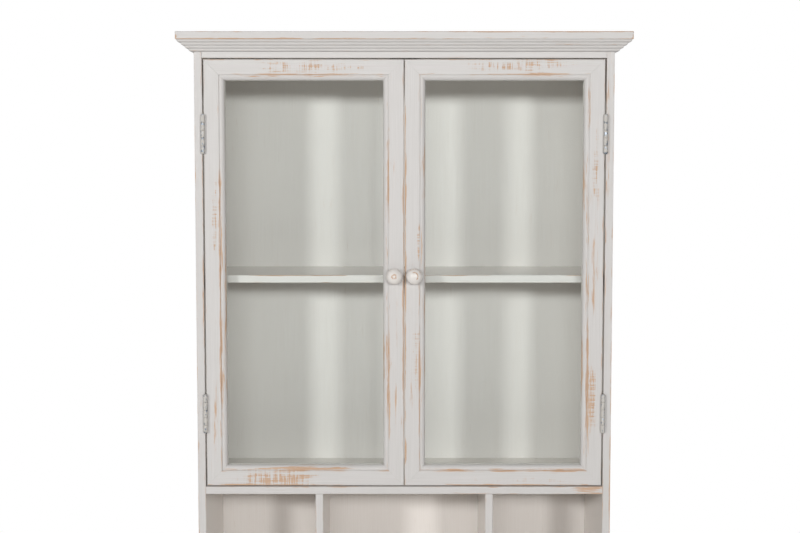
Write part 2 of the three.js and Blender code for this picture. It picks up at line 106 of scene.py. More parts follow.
def soft_box(name, place, size, watts):
    """A white lamp that faces the middle of the doors."""
    data = bpy.data.lights.new(name, "AREA")
    data.shape = "RECTANGLE"
    data.size, data.size_y = size
    data.energy = watts
    data.color = linear("#FFFFFF")[:3]
    lamp = bpy.data.objects.new(name, data)
    lamp.location = place
    aim = np.array(LAMP_TARGET) - np.array(place)
    turn = math.atan2(aim[1], aim[0]) - math.pi / 2
    tilt = math.atan2(aim[2], math.hypot(aim[0], aim[1])) + math.pi / 2
    lamp.rotation_euler = (tilt, 0.0, turn)
    bpy.context.scene.collection.objects.link(lamp)


LAMP_TARGET = (0.0, front_plane, 0.7)
soft_box("soft_box_left", (-1.9, front_plane - 2.9, 1.30), (0.33, 0.24), 41.5)
soft_box("soft_box_right", (1.33, front_plane - 3.7, 1.26), (0.4, 0.24), 41.5)
soft_box("soft_box_middle", (-0.1, front_plane - 3.4, 1.34), (1.2, 0.3), 34.0)

# The room's light by heading: FILL from the front half, BACK_GLOW from the paper.
FILL = 0.13
BACK_GLOW = 0.75
world = bpy.data.worlds.new("studio")
world.use_nodes = True
bpy.context.scene.world = world
sky = world.node_tree
sky.nodes.clear()
seen = node(sky, "ShaderNodeLightPath").outputs["Is Camera Ray"]
heading = node(sky, "ShaderNodeSeparateXYZ", Vector=node(sky, "ShaderNodeTexCoord").outputs[0])
glow = ranged(sky, heading.outputs["Y"], (0.0, 0.5), (FILL, BACK_GLOW))
room = node(sky, "ShaderNodeBackground", Color=linear("#FFFFFF"), Strength=glow).outputs[0]
paper = node(sky, "ShaderNodeBackground", Color=linear("#FFFFFF"), Strength=1.0).outputs[0]
mixed = node(sky, "ShaderNodeMixShader", i0=seen, i1=room, i2=paper).outputs[0]
node(sky, "ShaderNodeOutputWorld", Surface=mixed)

FLOOR_SIDE = 1.6
FLOOR_FRONT = -2.4
FLOOR_BACK = 0.8
floor_data = bpy.data.meshes.new("floor")
floor_corners = [(-FLOOR_SIDE, FLOOR_FRONT, 0), (FLOOR_SIDE, FLOOR_FRONT, 0),
                 (FLOOR_SIDE, FLOOR_BACK, 0), (-FLOOR_SIDE, FLOOR_BACK, 0)]
floor_data.from_pydata(floor_corners, [], [(0, 1, 2, 3)])
floor = bpy.data.objects.new("floor", floor_data)
floor_paint = bpy.data.materials.new("pale studio floor")
floor_paint.use_nodes = True
floor_shader = floor_paint.node_tree.nodes["Principled BSDF"]
floor_shader.inputs["Base Color"].default_value = linear("#E9E8E6")
floor_shader.inputs["Roughness"].default_value = 0.8
floor_data.materials.append(floor_paint)
bpy.context.scene.collection.objects.link(floor)
floor.visible_glossy = False  # the panes would show its near edge

# ---- Painted carcass boards --------------------------------------------------------------------
# Lime wood boards, planed, glued and pinned, then brushed with one thin coat of off-white chalk
# paint and rubbed through to the wood along the arrises and wherever the grain stands proud.
ARRIS_ROUND = 0.0009
ARRIS_STEPS = 3
NEAR_ARRIS = np.array([0.0012, 0.0028, 0.006])  # extra lines beside an arris, for the wear
PAINTED_LIGHT_COAT = ("#E0DAD4", "#E5E0DB")  # a lighter copy of the coat for faces inside the cabinet and the knobs: painted light
UNHANDLED_SATIN = 0.2
# Bare edge wood, much darker than the lime elsewhere: real bare wood with painted shade for the closed
# gaps.
RAW_EDGE_GAP_SHADE = "#5E4A38"
RUBBED_WIDTH = 0.0032  # how far from an arris the paint wears
WOOD_SATIN = 0.82


def new_material(name):
    """A material and its node tree, emptied."""
    material = bpy.data.materials.new(name)
    material.use_nodes = True
    material.node_tree.nodes.clear()
    return material, material.node_tree


def arithmetic(tree, operation, a, b=0.0):
    return node(tree, "ShaderNodeMath", {"operation": operation}, i0=a, i1=b).outputs[0]


def blended(tree, amount, a, b):
    """Colour a where the amount is 0 and colour b where it is 1."""
    return node(tree, "ShaderNodeMix", {"data_type": "RGBA"}, i0=amount, i6=a, i7=b).outputs[2]


def worn_paint(name, coat, wood_light, wood_dark, wear, satin=0.5):
    """Chalk paint over lime wood. Reads the piece's own attributes: grain (along, across, through),
    arris (distance to the nearest arris), rub (hand wear from 0 to 1), saw (saw-mark wear), bare
    (never painted; bare wood drawn dark brown, partly painted shade for the closed gaps) and inside
    (faces inside the cabinet, and the knobs, which take a lighter copy of the coat as painted light
    and a smoother satin). The paint is through to the wood where the level is high:
    level = 2 (fibres - 0.5) + 1.7 (patches - 0.5) + wear * nearness to an arris + rub
    + 4.2 (saw cuts - 0.34) * saw."""
    material, tree = new_material(name)

    def attribute(label, output="Fac"):
        return node(tree, "ShaderNodeAttribute", {"attribute_name": label}).outputs[output]

    grain = attribute("grain", "Vector")

    def streaks(long_mm, wide_mm, detail):
        """Noise stretched along the grain: one cell is long_mm by wide_mm."""
        scale = (1000 / long_mm, 1000 / wide_mm, 1000 / wide_mm)
        spread = node(tree, "ShaderNodeMapping", Vector=grain, Scale=scale).outputs[0]
        made = node(tree, "ShaderNodeTexNoise", Vector=spread, Scale=1.0, Detail=detail,
                    Roughness=0.6)
        return made.outputs["Fac"]

    def part(noise, middle, gain):
        return arithmetic(tree, "MULTIPLY", arithmetic(tree, "SUBTRACT", noise, middle), gain)

    fibres = streaks(30.0, 1.0, 5.0)
    patches = streaks(48.0, 6.0, 3.0)
    saw_cuts = streaks(2.2, 40.0, 1.0)
    brush = streaks(90.0, 1.1, 3.0)
    figure = streaks(55.0, 3.5, 3.0)
    exposed = ranged(tree, attribute("arris"), (0.0, RUBBED_WIDTH), (1.0, 0.0))
    level = arithmetic(tree, "ADD", part(fibres, 0.5, 2.0), part(patches, 0.5, 1.7))
    level = arithmetic(tree, "ADD", level, arithmetic(tree, "MULTIPLY", exposed, wear))
    level = arithmetic(tree, "ADD", level, attribute("rub"))
    sawn = arithmetic(tree, "MULTIPLY", part(saw_cuts, 0.34, 4.2), attribute("saw"))
    level = arithmetic(tree, "ADD", level, sawn)
    through = ranged(tree, level, (0.58, 0.78), blend="SMOOTHSTEP")
    thin = ranged(tree, level, (0.3, 0.8), (0.0, 0.22), "SMOOTHSTEP")

    shade = ranged(tree, brush, (0.3, 0.7))
    painted = blended(tree, shade, linear(coat[0]), linear(coat[1]))
    # Faces marked inside take a lighter copy of the coat: painted light where the lamps bring too
    # little.
    lightened_coat = blended(tree, shade, linear(PAINTED_LIGHT_COAT[0]), linear(PAINTED_LIGHT_COAT[1]))
    painted = blended(tree, attribute("inside"), painted, lightened_coat)
    timber = blended(tree, figure, linear(wood_light), linear(wood_dark))
    colour = blended(tree, through, blended(tree, thin, painted, timber), timber)
    # Where bare, a dark brown: bare wood with the gaps' shade painted in.
    colour = blended(tree, attribute("bare"), colour, linear(RAW_EDGE_GAP_SHADE))
    sheen = ranged(tree, attribute("inside"), target=(satin, UNHANDLED_SATIN))
    rough = ranged(tree, through, target=(sheen, WOOD_SATIN))
    ridges = arithmetic(tree, "ADD", arithmetic(tree, "MULTIPLY", brush, 0.35),
                        arithmetic(tree, "MULTIPLY", fibres, 0.25))
    height = arithmetic(tree, "SUBTRACT", ridges, arithmetic(tree, "MULTIPLY", through, 0.7))
    bump = node(tree, "ShaderNodeBump", Height=height, Strength=0.5, Distance=0.00018).outputs[0]
    shader = node(tree, "ShaderNodeBsdfPrincipled", Base_Color=colour, Normal=bump, Roughness=rough,
                  IOR=1.45, Specular_IOR_Level=0.5)
    node(tree, "ShaderNodeOutputMaterial", Surface=shader.outputs[0])
    return material


# The front's coat is a darker copy of the same paint and the inside's a lighter one: painted shade and
# painted light, set by how the lamps fall.
FRONT_PAINT = worn_paint("chalk paint, worn", ("#C3C0BD", "#CBC8C6"), "#CDB29B", "#AE8B70", 0.5)
INNER_PAINT = worn_paint("chalk paint, inside", PAINTED_LIGHT_COAT, "#BF9F84", "#9E7A5E", 0.28, 0.62)


def stations_between(length, spacing, rounding):
    """Distances along a piece: close together near both ends, then about one spacing apart."""
    near = np.concatenate([[0.0, 0.3 * rounding, rounding], rounding + NEAR_ARRIS])
    near = near[near < length / 3]
    count = max(2, int(round((length - 2 * near[-1]) / spacing)))
    middle = np.linspace(near[-1], length - near[-1], count + 1)
    return np.concatenate([near[:-1], middle, (length - near[:-1])[::-1]])


def swept(outline, origin, axes, length, spacing=0.02, slopes=(0.0, 0.0), rounding=ARRIS_ROUND):
    """A profile carried along a straight line. Point (j, i) = origin + u_i * axes[0]
    + v_i * axes[1] + (d_j + slope * u_i) * axes[2], where (u_i, v_i) is the outline and d_j a
    station. The slope goes over evenly from the first end's to the last end's. The rings near an
    end are drawn in by a quarter round. Both ends are closed. Returns points, faces and places."""
    stations = stations_between(length, spacing, rounding)
    to_end = np.minimum(stations, length - stations)
    inset = rounding * (1 - np.sqrt(np.clip(1 - (1 - to_end / rounding) ** 2, 0, 1)))
    inset = np.where(to_end < rounding, inset, 0.0)
    tangent = np.roll(outline, -1, axis=0) - np.roll(outline, 1, axis=0)
    inward = np.stack([-tangent[:, 1], tangent[:, 0]], axis=1) * np.sign(outline_area(outline))
    inward /= np.maximum(np.linalg.norm(inward, axis=1, keepdims=True), 1e-9)
    rings = outline[None, :, :] + inset[:, None, None] * inward[None, :, :]
    share = (stations / length)[:, None]
    slant = (slopes[0] * (1 - share) + slopes[1] * share) * rings[:, :, 0]
    along = stations[:, None] + slant
    across, deep, forward = (np.array(axis, float) for axis in axes)
    points = (
        np.array(origin, float)
        + rings[:, :, :1] * across
        + rings[:, :, 1:] * deep
        + along[:, :, None] * forward
    )
    m, n = along.shape
    index = np.arange(m * n).reshape(m, n)
    after = np.roll(index, -1, axis=1)
    quads = np.stack([index[:-1], after[:-1], after[1:], index[1:]], axis=-1).reshape(-1, 4)
    first, last = index[0], index[-1]
    handed = np.dot(np.cross(across, deep), forward) > 0
    if handed == (outline_area(outline) > 0):
        faces = [*quads.tolist(), first[::-1].tolist(), last.tolist()]
    else:
        faces = [*quads[:, ::-1].tolist(), first.tolist(), last[::-1].tolist()]
    places = {"along": along, "rings": rings, "stations": stations, "to_end": to_end}
    return points.reshape(-1, 3), faces, places


def joined(name, shells):
    """One mesh from several shells of points and faces, each shell's faces moved up past the points
    of those before it."""
    points = np.concatenate([shell[0] for shell in shells])
    starts = np.cumsum([0] + [len(shell[0]) for shell in shells[:-1]])
    faces = [
        [corner + start for corner in face]
        for start, shell in zip(starts.tolist(), shells, strict=True)
        for face in shell[1]
    ]
    mesh = bpy.data.meshes.new(name)
    mesh.from_pydata(points.tolist(), [], faces)
    return mesh


def carry(name, outline, arrises, origin, axes, length, options):
    """A swept length of timber, with the attributes that its finish reads."""
    spacing = options.get("spacing", 0.02)
    slopes = options.get("slopes", (0.0, 0.0))
    rounding = options.get("end_rounding", ARRIS_ROUND)
    shell = swept(outline, origin, axes, length, spacing, slopes, rounding)
    mesh = joined(name, [shell])
    along, rings, stations, to_end = shell[2].values()
    gaps = np.linalg.norm(outline[:, None, :] - np.asarray(arrises)[None, :, :], axis=2).min(axis=1)
    distance = np.broadcast_to(gaps[None, :], along.shape).copy()
    if options.get("free_ends", True):
        distance = np.minimum(distance, to_end[:, None])
    middle = rings.mean(axis=(0, 1))
    seed = options.get("seed", 0) * np.array([0.37, 0.191, 0.233])
    grain = np.stack([along, rings[:, :, 0] - middle[0], rings[:, :, 1] - middle[1]], axis=-1)
    write(mesh, "grain", "FLOAT_VECTOR", grain + seed)
    write(mesh, "arris", "FLOAT", distance)
    front_only = rings[:, :, 1] < options.get("rub_depth", 1.0)
    for label in ("rub", "saw"):
        amount = np.zeros(along.shape)
        for centre, reach, strength in options.get(label, ()):
            gap_along = (stations[:, None] - centre[0]) / reach[0]
            gap_across = (rings[:, :, 0] - centre[1]) / reach[1]
            spot = strength * np.exp(-(np.abs(gap_along) ** 3) - gap_across**2)
            amount = np.maximum(amount, spot)
        write(mesh, label, "FLOAT", amount * front_only)
    bare = options.get("bare", lambda u, v: 0.0 * u)(rings[:, :, 0], rings[:, :, 1])
    write(mesh, "bare", "FLOAT", bare)
    inside = options.get("inside", lambda u, v: 0.0 * u)(rings[:, :, 0], rings[:, :, 1])
    write(mesh, "inside", "FLOAT", inside)
    return mesh


def outline_area(outline):
    """Signed area of a closed outline: half the sum of u_i * v_next - u_next * v_i."""
    u, v = outline[:, 0], outline[:, 1]
    return 0.5 * np.sum(u * np.roll(v, -1) - np.roll(u, -1) * v)


def write(mesh, label, kind, values):
    made = mesh.attributes.new(label, kind, "POINT")
    field = "vector" if kind == "FLOAT_VECTOR" else "value"
    made.data.foreach_set(field, np.ascontiguousarray(values, np.float32).ravel())


def piece(name, mesh, material, body, slot, *stands_for):
    """Shades a finished mesh smooth but for its sharp edges, and mounts it on its body."""
    mesh.materials.append(material)
    mesh.shade_smooth()
    mesh.set_sharp_from_angle(angle=math.radians(38))
    made = bpy.data.objects.new(name, mesh)
    bpy.context.scene.collection.objects.link(made)
    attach(made, body)
    if stands_for:
        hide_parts(*stands_for)
    return made


def rounded_section(width, depth, radius=ARRIS_ROUND):
    """Rectangle of width by depth with quarter-round corners of that radius, and with extra points
    on its flats beside each corner. Returns the outline and its four arrises."""
    corners = np.array([[0, 0], [width, 0], [width, depth], [0, depth]], float)
    inwards = np.array([[1, 1], [-1, 1], [-1, -1], [1, -1]], float)
    starts = np.radians([180.0, 270.0, 0.0, 90.0])
    sweep = np.radians(np.linspace(0, 90, ARRIS_STEPS + 1))
    parts = []
    for k in range(4):
        centre = corners[k] + radius * inwards[k]
        angles = starts[k] + sweep
        arc = centre + radius * np.stack([np.cos(angles), np.sin(angles)], axis=1)
        parts.append(arc)
        run = corners[(k + 1) % 4] - corners[k]
        span = np.linalg.norm(run)
        offsets = NEAR_ARRIS[NEAR_ARRIS < span / 2 - radius]
        steps = np.concatenate([offsets, (span - offsets)[::-1]])
        parts.append(corners[k] + steps[:, None] * (run / span))
    return np.concatenate(parts), corners


AXES = {"X": (1, 0, 0), "Y": (0, 1, 0), "Z": (0, 0, 1)}


def plank(cad_node, body, grain, material=None, name=None, **options):
    """A board in the place of its CAD node: a rounded rectangle carried along its grain. Its first
    axis across the grain is X (or Z on a board whose grain runs along X), its second is Y (or Z)."""
    low, high = (np.array(corner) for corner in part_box(cad_node))
    across, deep = {"X": ("Z", "Y"), "Z": ("X", "Y"), "Y": ("X", "Z")}[grain]
    size = dict(zip("XYZ", high - low, strict=True))
    radius = options.get("radius", ARRIS_ROUND)
    outline, arrises = rounded_section(size[across], size[deep], radius)
    axes = [AXES[across], AXES[deep], AXES[grain]]
    mesh = carry(cad_node, outline, arrises, low, axes, size[grain], options)
    slot = options.get("slot", "paint")
    return piece(name or cad_node + "_board", mesh, material or FRONT_PAINT, body, slot, cad_node)


# Which faces lie inside the cabinet and take the lighter copy of the coat, painted light: u is the
# distance across a board, v the depth from its front.
def behind_front_edge(u, v):
    return (v > 0.001).astype(float)


def every_face(u, v):
    return np.ones_like(u)


def right_hand_face(u, v):
    return ((u > 0.008) & (v > 0.001)).astype(float)


def left_hand_face(u, v):
    return ((u < 0.004) & (v > 0.001)).astype(float)


SEAM_ROUND = 0.0003  # ends that butt against another board, filled with paint
RUB_DEPTH = 0.003

# Sides: one board each. The front arrises are rubbed lightly over their whole height. Each rub is
# its centre (distance along the grain, distance across it), its reach both ways and its strength.
SIDE = {"radius": 0.0005, "spacing": 0.01, "rub_depth": RUB_DEPTH}
# Their inner faces take the lighter copy of the coat: painted light.
plank("side_panel_left", "carcass", "Z", seed=1, inside=right_hand_face, **SIDE,
      rub=[((0.25, 0.0), (0.2, 0.003), 0.2), ((0.75, 0.012), (0.16, 0.002), 0.25)])
plank("side_panel_right", "carcass", "Z", seed=2, inside=left_hand_face, **SIDE,
      rub=[((0.9, 0.003), (0.12, 0.003), 0.4), ((0.42, 0.012), (0.22, 0.002), 0.4)])

# Boards between the sides: top, sill, floor of the pigeonholes and bottom.
# Behind their front edges these boards take the lighter copy of the coat: painted light.
BETWEEN = {"free_ends": False, "end_rounding": SEAM_ROUND, "inside": behind_front_edge,
           "rub_depth": RUB_DEPTH}
plank("top_board", "carcass", "X", seed=3, **BETWEEN)
plank("sill_board", "carcass", "X", seed=4, spacing=0.008, **BETWEEN,
      rub=[((0.605, 0.007), (0.026, 0.008), 0.78), ((0.15, 0.012), (0.08, 0.002), 0.3)])
plank("pigeonhole_floor", "carcass", "X", seed=5, **BETWEEN)
plank("bottom_board", "carcass", "X", seed=6, **BETWEEN)
plank("plinth_front", "carcass", "X", seed=7, free_ends=False, spacing=0.01, rub_depth=RUB_DEPTH,
      rub=[((0.15, 0.002), (0.12, 0.004), 0.65), ((0.48, 0.042), (0.12, 0.003), 0.55)],
      saw=[((0.36, 0.014), (0.06, 0.008), 0.55)])
for place_number, storey in enumerate(("pigeonhole_divider", "drawer_divider")):
    for hand_number, hand in enumerate(("left", "right")):
        plank(f"{storey}_{hand}", "carcass", "Z", seed=8 + 2 * place_number + hand_number,
              **BETWEEN)
# The shelf takes the lighter copy of the coat on every face, its front edge too: painted light.
plank("shelf", "carcass", "X", seed=13, **BETWEEN | {"inside": every_face}, spacing=0.01,
      rub=[((0.14, 0.0118), (0.08, 0.0012), 0.7), ((0.40, 0.0118), (0.05, 0.0012), 0.5)])
for hand_number, hand in enumerate(("left", "right")):
    plank(f"shelf_cleat_{hand}", "carcass", "Y", INNER_PAINT, seed=14 + hand_number,
          slot="inside_paint")
plank("back_panel", "carcass", "Z", INNER_PAINT, seed=16, slot="inside_paint")


# ---- Panel pins --------------------------------------------------------------------------------
# Flat steel heads that hold the back panel to the sides, the top and the boards between them.


def turned(profile, centre, forward, segments, ring=False):
    """A surface of revolution: point (i, j) = centre + h_i * forward + r_i * (cos(a_j) * e1
    + sin(a_j) * e2), with (r_i, h_i) the profile. A ring's profile closes on itself; otherwise
    both ends are closed with a disc."""
    profile = np.array(profile, float)
    forward = np.array(forward, float)
    e1 = np.array([0.0, 0.0, 1.0]) if abs(forward[2]) < 0.5 else np.array([1.0, 0.0, 0.0])
    e2 = np.cross(forward, e1)
    angles = np.linspace(0, 2 * math.pi, segments, endpoint=False)
    spokes = np.cos(angles)[:, None] * e1 + np.sin(angles)[:, None] * e2
    rings = profile[:, 0][:, None, None] * spokes[None, :, :]
    points = np.array(centre, float) + rings + profile[:, 1][:, None, None] * forward
    n = len(profile)
    index = np.arange(n * segments).reshape(n, segments)
    after = np.roll(index, -1, axis=1)
    upper = np.roll(index, -1, axis=0)
    upper_after = np.roll(after, -1, axis=0)
    rows = n if ring else n - 1
    quads = np.stack([index, after, upper_after, upper], axis=-1)[:rows].reshape(-1, 4)
    faces = quads.tolist()
    if not ring:
        faces += [index[0][::-1].tolist(), index[-1].tolist()]
    return points.reshape(-1, 3), faces


def plated_steel(name, colour, roughness, painted):
    """Zinc-plated steel: a grey metal with a fine mottle. painted is how much of a brushed coat of
    the cabinet's own paint still covers it, from 0 to 1; the coat is specked with darker dirt."""
    material, tree = new_material(name)
    place = node(tree, "ShaderNodeTexCoord").outputs["Object"]
    mottle = node(tree, "ShaderNodeTexNoise", Vector=place, Scale=260.0, Detail=3.0).outputs["Fac"]
    speck = node(tree, "ShaderNodeTexNoise", Vector=place, Scale=900.0, Detail=2.0).outputs["Fac"]
    covered = 0.45 * painted
    cover = ranged(tree, mottle, (0.70 - covered, 0.78 - covered))
    metal = blended(tree, speck, linear(colour), linear("#8D9296"))
    coat = blended(tree, speck, linear("#C6C5C2"), linear("#B5AEA4"))
    bump = node(tree, "ShaderNodeBump", Height=cover, Strength=0.4, Distance=0.0001).outputs[0]
    shader = node(tree, "ShaderNodeBsdfPrincipled", Base_Color=blended(tree, cover, metal, coat),
                  Metallic=ranged(tree, cover, target=(0.9, 0.0)), Normal=bump,
                  Roughness=ranged(tree, cover, target=(roughness, 0.6)))
    node(tree, "ShaderNodeOutputMaterial", Surface=shader.outputs[0])
    return material


BRIGHT_ZINC = plated_steel("zinc-plated steel, bright", "#B4B9BD", 0.32, 0.0)
PAINTED_ZINC = plated_steel("zinc-plated steel, painted over", "#9FADBE", 0.38, 0.72)


def screw_head(centre, forward, radius, proud):
    """A raised round head with a dimple for its recess, 16 sides."""
    profile = [(radius, 0.0), (0.97 * radius, 0.4 * proud), (0.75 * radius, 0.8 * proud),
               (0.45 * radius, proud), (0.34 * radius, 0.9 * proud), (0.12 * radius, 0.2 * proud)]
    return turned(profile, centre, forward, 16)


PIN_PITCH = 0.125
PIN_INSET = 0.006
PIN_HEAD = 0.0016
PIN_PROUD = 0.0003
back_low, back_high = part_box("back_panel")
pin_rows = np.arange(back_low.z + PIN_INSET, back_high.z, PIN_PITCH)
pin_columns = np.arange(-2, 3) * PIN_PITCH
pinned_boards = ("bottom_board", "pigeonhole_floor", "sill_board", "shelf", "top_board")
board_levels = [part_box(name)[1].z - PIN_INSET for name in pinned_boards]
pin_places = [(side * (back_high.x - PIN_INSET), z) for side in (-1, 1) for z in pin_rows]
pin_places += [(x, z) for x in pin_columns for z in board_levels]
pins = [screw_head((x, back_high.y, z), (0, 1, 0), PIN_HEAD, PIN_PROUD) for x, z in pin_places]
piece("panel_pins", joined("panel_pins", pins), BRIGHT_ZINC, "carcass", "steel")

# ---- Crown -----------------------------------------------------------------------------------
# A reeded moulding in three mitred lengths under an overhanging cap. The cap's front arrises have
# lost their paint: the lower one to the left of the middle, the upper one to the right of it.
REEDS = 4
REED_BULGE = 0.0016
REED_STEPS = 8
MOULDING_TOE = 0.002


def crown_section(reach, height):
    """From the toe to the head, a slanting row of half-round reeds: the point at share t is
    toe + t * slope + bulge * |sin(pi * reeds * t)| along the slope's outward normal."""
    share = np.linspace(0, 1, REEDS * REED_STEPS + 1)[:, None]
    toe = np.array([MOULDING_TOE, 0.0])
    head = np.array([reach, height])
    slope = head - toe
    outward = np.array([slope[1], -slope[0]]) / np.linalg.norm(slope)
    swell = REED_BULGE * np.abs(np.sin(math.pi * REEDS * share))
    face = toe + share * slope + swell * outward
    outline = np.concatenate([[[0.0, 0.0]], face, [[0.0, height]]])
    return outline, face[REED_STEPS // 2 :: REED_STEPS] + 0.0015 * outward


def crown_length(cad_node, corner, axes, length, slopes, seed):
    outline, arrises = crown_section(crown_reach, crown_height)
    options = {"slopes": slopes, "seed": seed, "spacing": 0.012, "free_ends": False}
    mesh = carry(cad_node, outline, arrises, corner, axes, length, options)
    piece(cad_node + "_moulding", mesh, FRONT_PAINT, "carcass", "paint", cad_node)


crown_low, crown_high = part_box("cornice_front")
crown_reach = crown_high.y - crown_low.y
crown_height = crown_high.z - crown_low.z
crown_corner = crown_high.x - crown_reach + 0.0002
crown_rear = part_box("cornice_left")[1].y
run_back = crown_rear - crown_high.y
UP, DOWN, RIGHT, LEFT = (0, 0, 1), (0, 0, -1), (1, 0, 0), (-1, 0, 0)
FORWARD, BACK = (0, -1, 0), (0, 1, 0)
crown_length("cornice_front", (crown_corner, crown_high.y, crown_low.z), (FORWARD, UP, LEFT),
             2 * crown_corner, (-1, 1), 20)
crown_length("cornice_left", (-crown_corner, crown_high.y, crown_low.z), (LEFT, UP, BACK),
             run_back, (-1, 0), 21)
crown_length("cornice_right", (crown_corner, crown_rear, crown_low.z), (RIGHT, UP, FORWARD),
             run_back, (0, 1), 22)
plank("top_cap", "carcass", "X", seed=23, spacing=0.008, rub_depth=0.004,
      rub=[((0.11, 0.0), (0.13, 0.0016), 0.82), ((0.28, 0.0), (0.12, 0.0012), 0.5),
           ((0.56, 0.012), (0.17, 0.0016), 0.82), ((0.44, 0.012), (0.1, 0.001), 0.4),
           ((0.0, 0.004), (0.004, 0.008), 0.6), ((0.7, 0.002), (0.004, 0.004), 0.3)])

# ---- Doors -----------------------------------------------------------------------------------
# Each frame is four lengths of one moulding, mitred at the corners. A quirk divides the flat
# from an ovolo that falls to the glass; behind it a rebate takes the pane and its bead. The outer
# edges were never painted; their bare wood is drawn dark brown, darkened with painted shade for the
# gaps.
FRAME_FLAT = 0.0235
QUIRK_WIDTH = 0.0012
QUIRK_DEPTH = 0.0018
MOULDING_DROP = 0.001
GLASS_SETBACK = 0.009
REBATE_WIDTH = 0.007
MITRE_ROUND = 0.00018


def frame_section(width, depth):
    """u runs from the outer edge to the glass and v from front to back: a rounded outer arris, the
    flat, the quirk, a quarter ellipse down to the glass, then the rebate and the back."""
    angles = np.radians(np.linspace(0, 90, ARRIS_STEPS + 1))
    r = ARRIS_ROUND
    outer = np.stack([r - r * np.cos(angles), r - r * np.sin(angles)], axis=1)
    flat_u = np.concatenate([r + NEAR_ARRIS, np.linspace(0.010, FRAME_FLAT - 0.006, 4)])
    flat_u = np.concatenate([flat_u, FRAME_FLAT - NEAR_ARRIS[1::-1], [FRAME_FLAT - 0.0004]])
    flat = np.stack([flat_u, np.zeros_like(flat_u)], axis=1)
    quirk_end = FRAME_FLAT + QUIRK_WIDTH
    quirk = np.array([
        [FRAME_FLAT, 0.0004], [FRAME_FLAT, QUIRK_DEPTH], [quirk_end, QUIRK_DEPTH],
        [quirk_end, MOULDING_DROP + 0.0005],
    ])
    turn = np.radians(np.linspace(8, 90, 9))
    fall = GLASS_SETBACK - QUIRK_DEPTH - MOULDING_DROP
    run = width - quirk_end
    ovolo = np.stack([
        quirk_end + run * np.sin(turn), MOULDING_DROP + fall * (1 - np.cos(turn)),
    ], axis=1)
    rebate = width - REBATE_WIDTH
    rear = np.array([
        [width, GLASS_SETBACK], [rebate, GLASS_SETBACK], [rebate, depth],
        [rebate / 2, depth], [0.0, depth], [0.0, depth / 2],
    ])
    outline = np.concatenate([outer, flat, quirk, ovolo, rear])
    arrises = np.array([[0.0, 0.0], [FRAME_FLAT, 0.0], [quirk_end + 0.0015, MOULDING_DROP],
                        [width, MOULDING_DROP + fall]])
    return outline, arrises


def outer_edge(u, v):
    return ((u < 0.0002) & (v > 0.0012)).astype(float)


def frame_length(cad_node, body, origin, axes, length, seed, rub=(), saw=()):
    low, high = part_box(cad_node)
    width = min(high.x - low.x, high.z - low.z)
    outline, arrises = frame_section(width, high.y - low.y)
    options = {"slopes": (1, -1), "seed": seed, "spacing": 0.005, "free_ends": False,
               "end_rounding": MITRE_ROUND, "rub": rub, "saw": saw, "bare": outer_edge,
               "rub_depth": 0.0075}
    mesh = carry(cad_node, outline, arrises, origin, axes, length, options)
    piece(cad_node + "_moulding", mesh, FRONT_PAINT, body, "paint", cad_node)


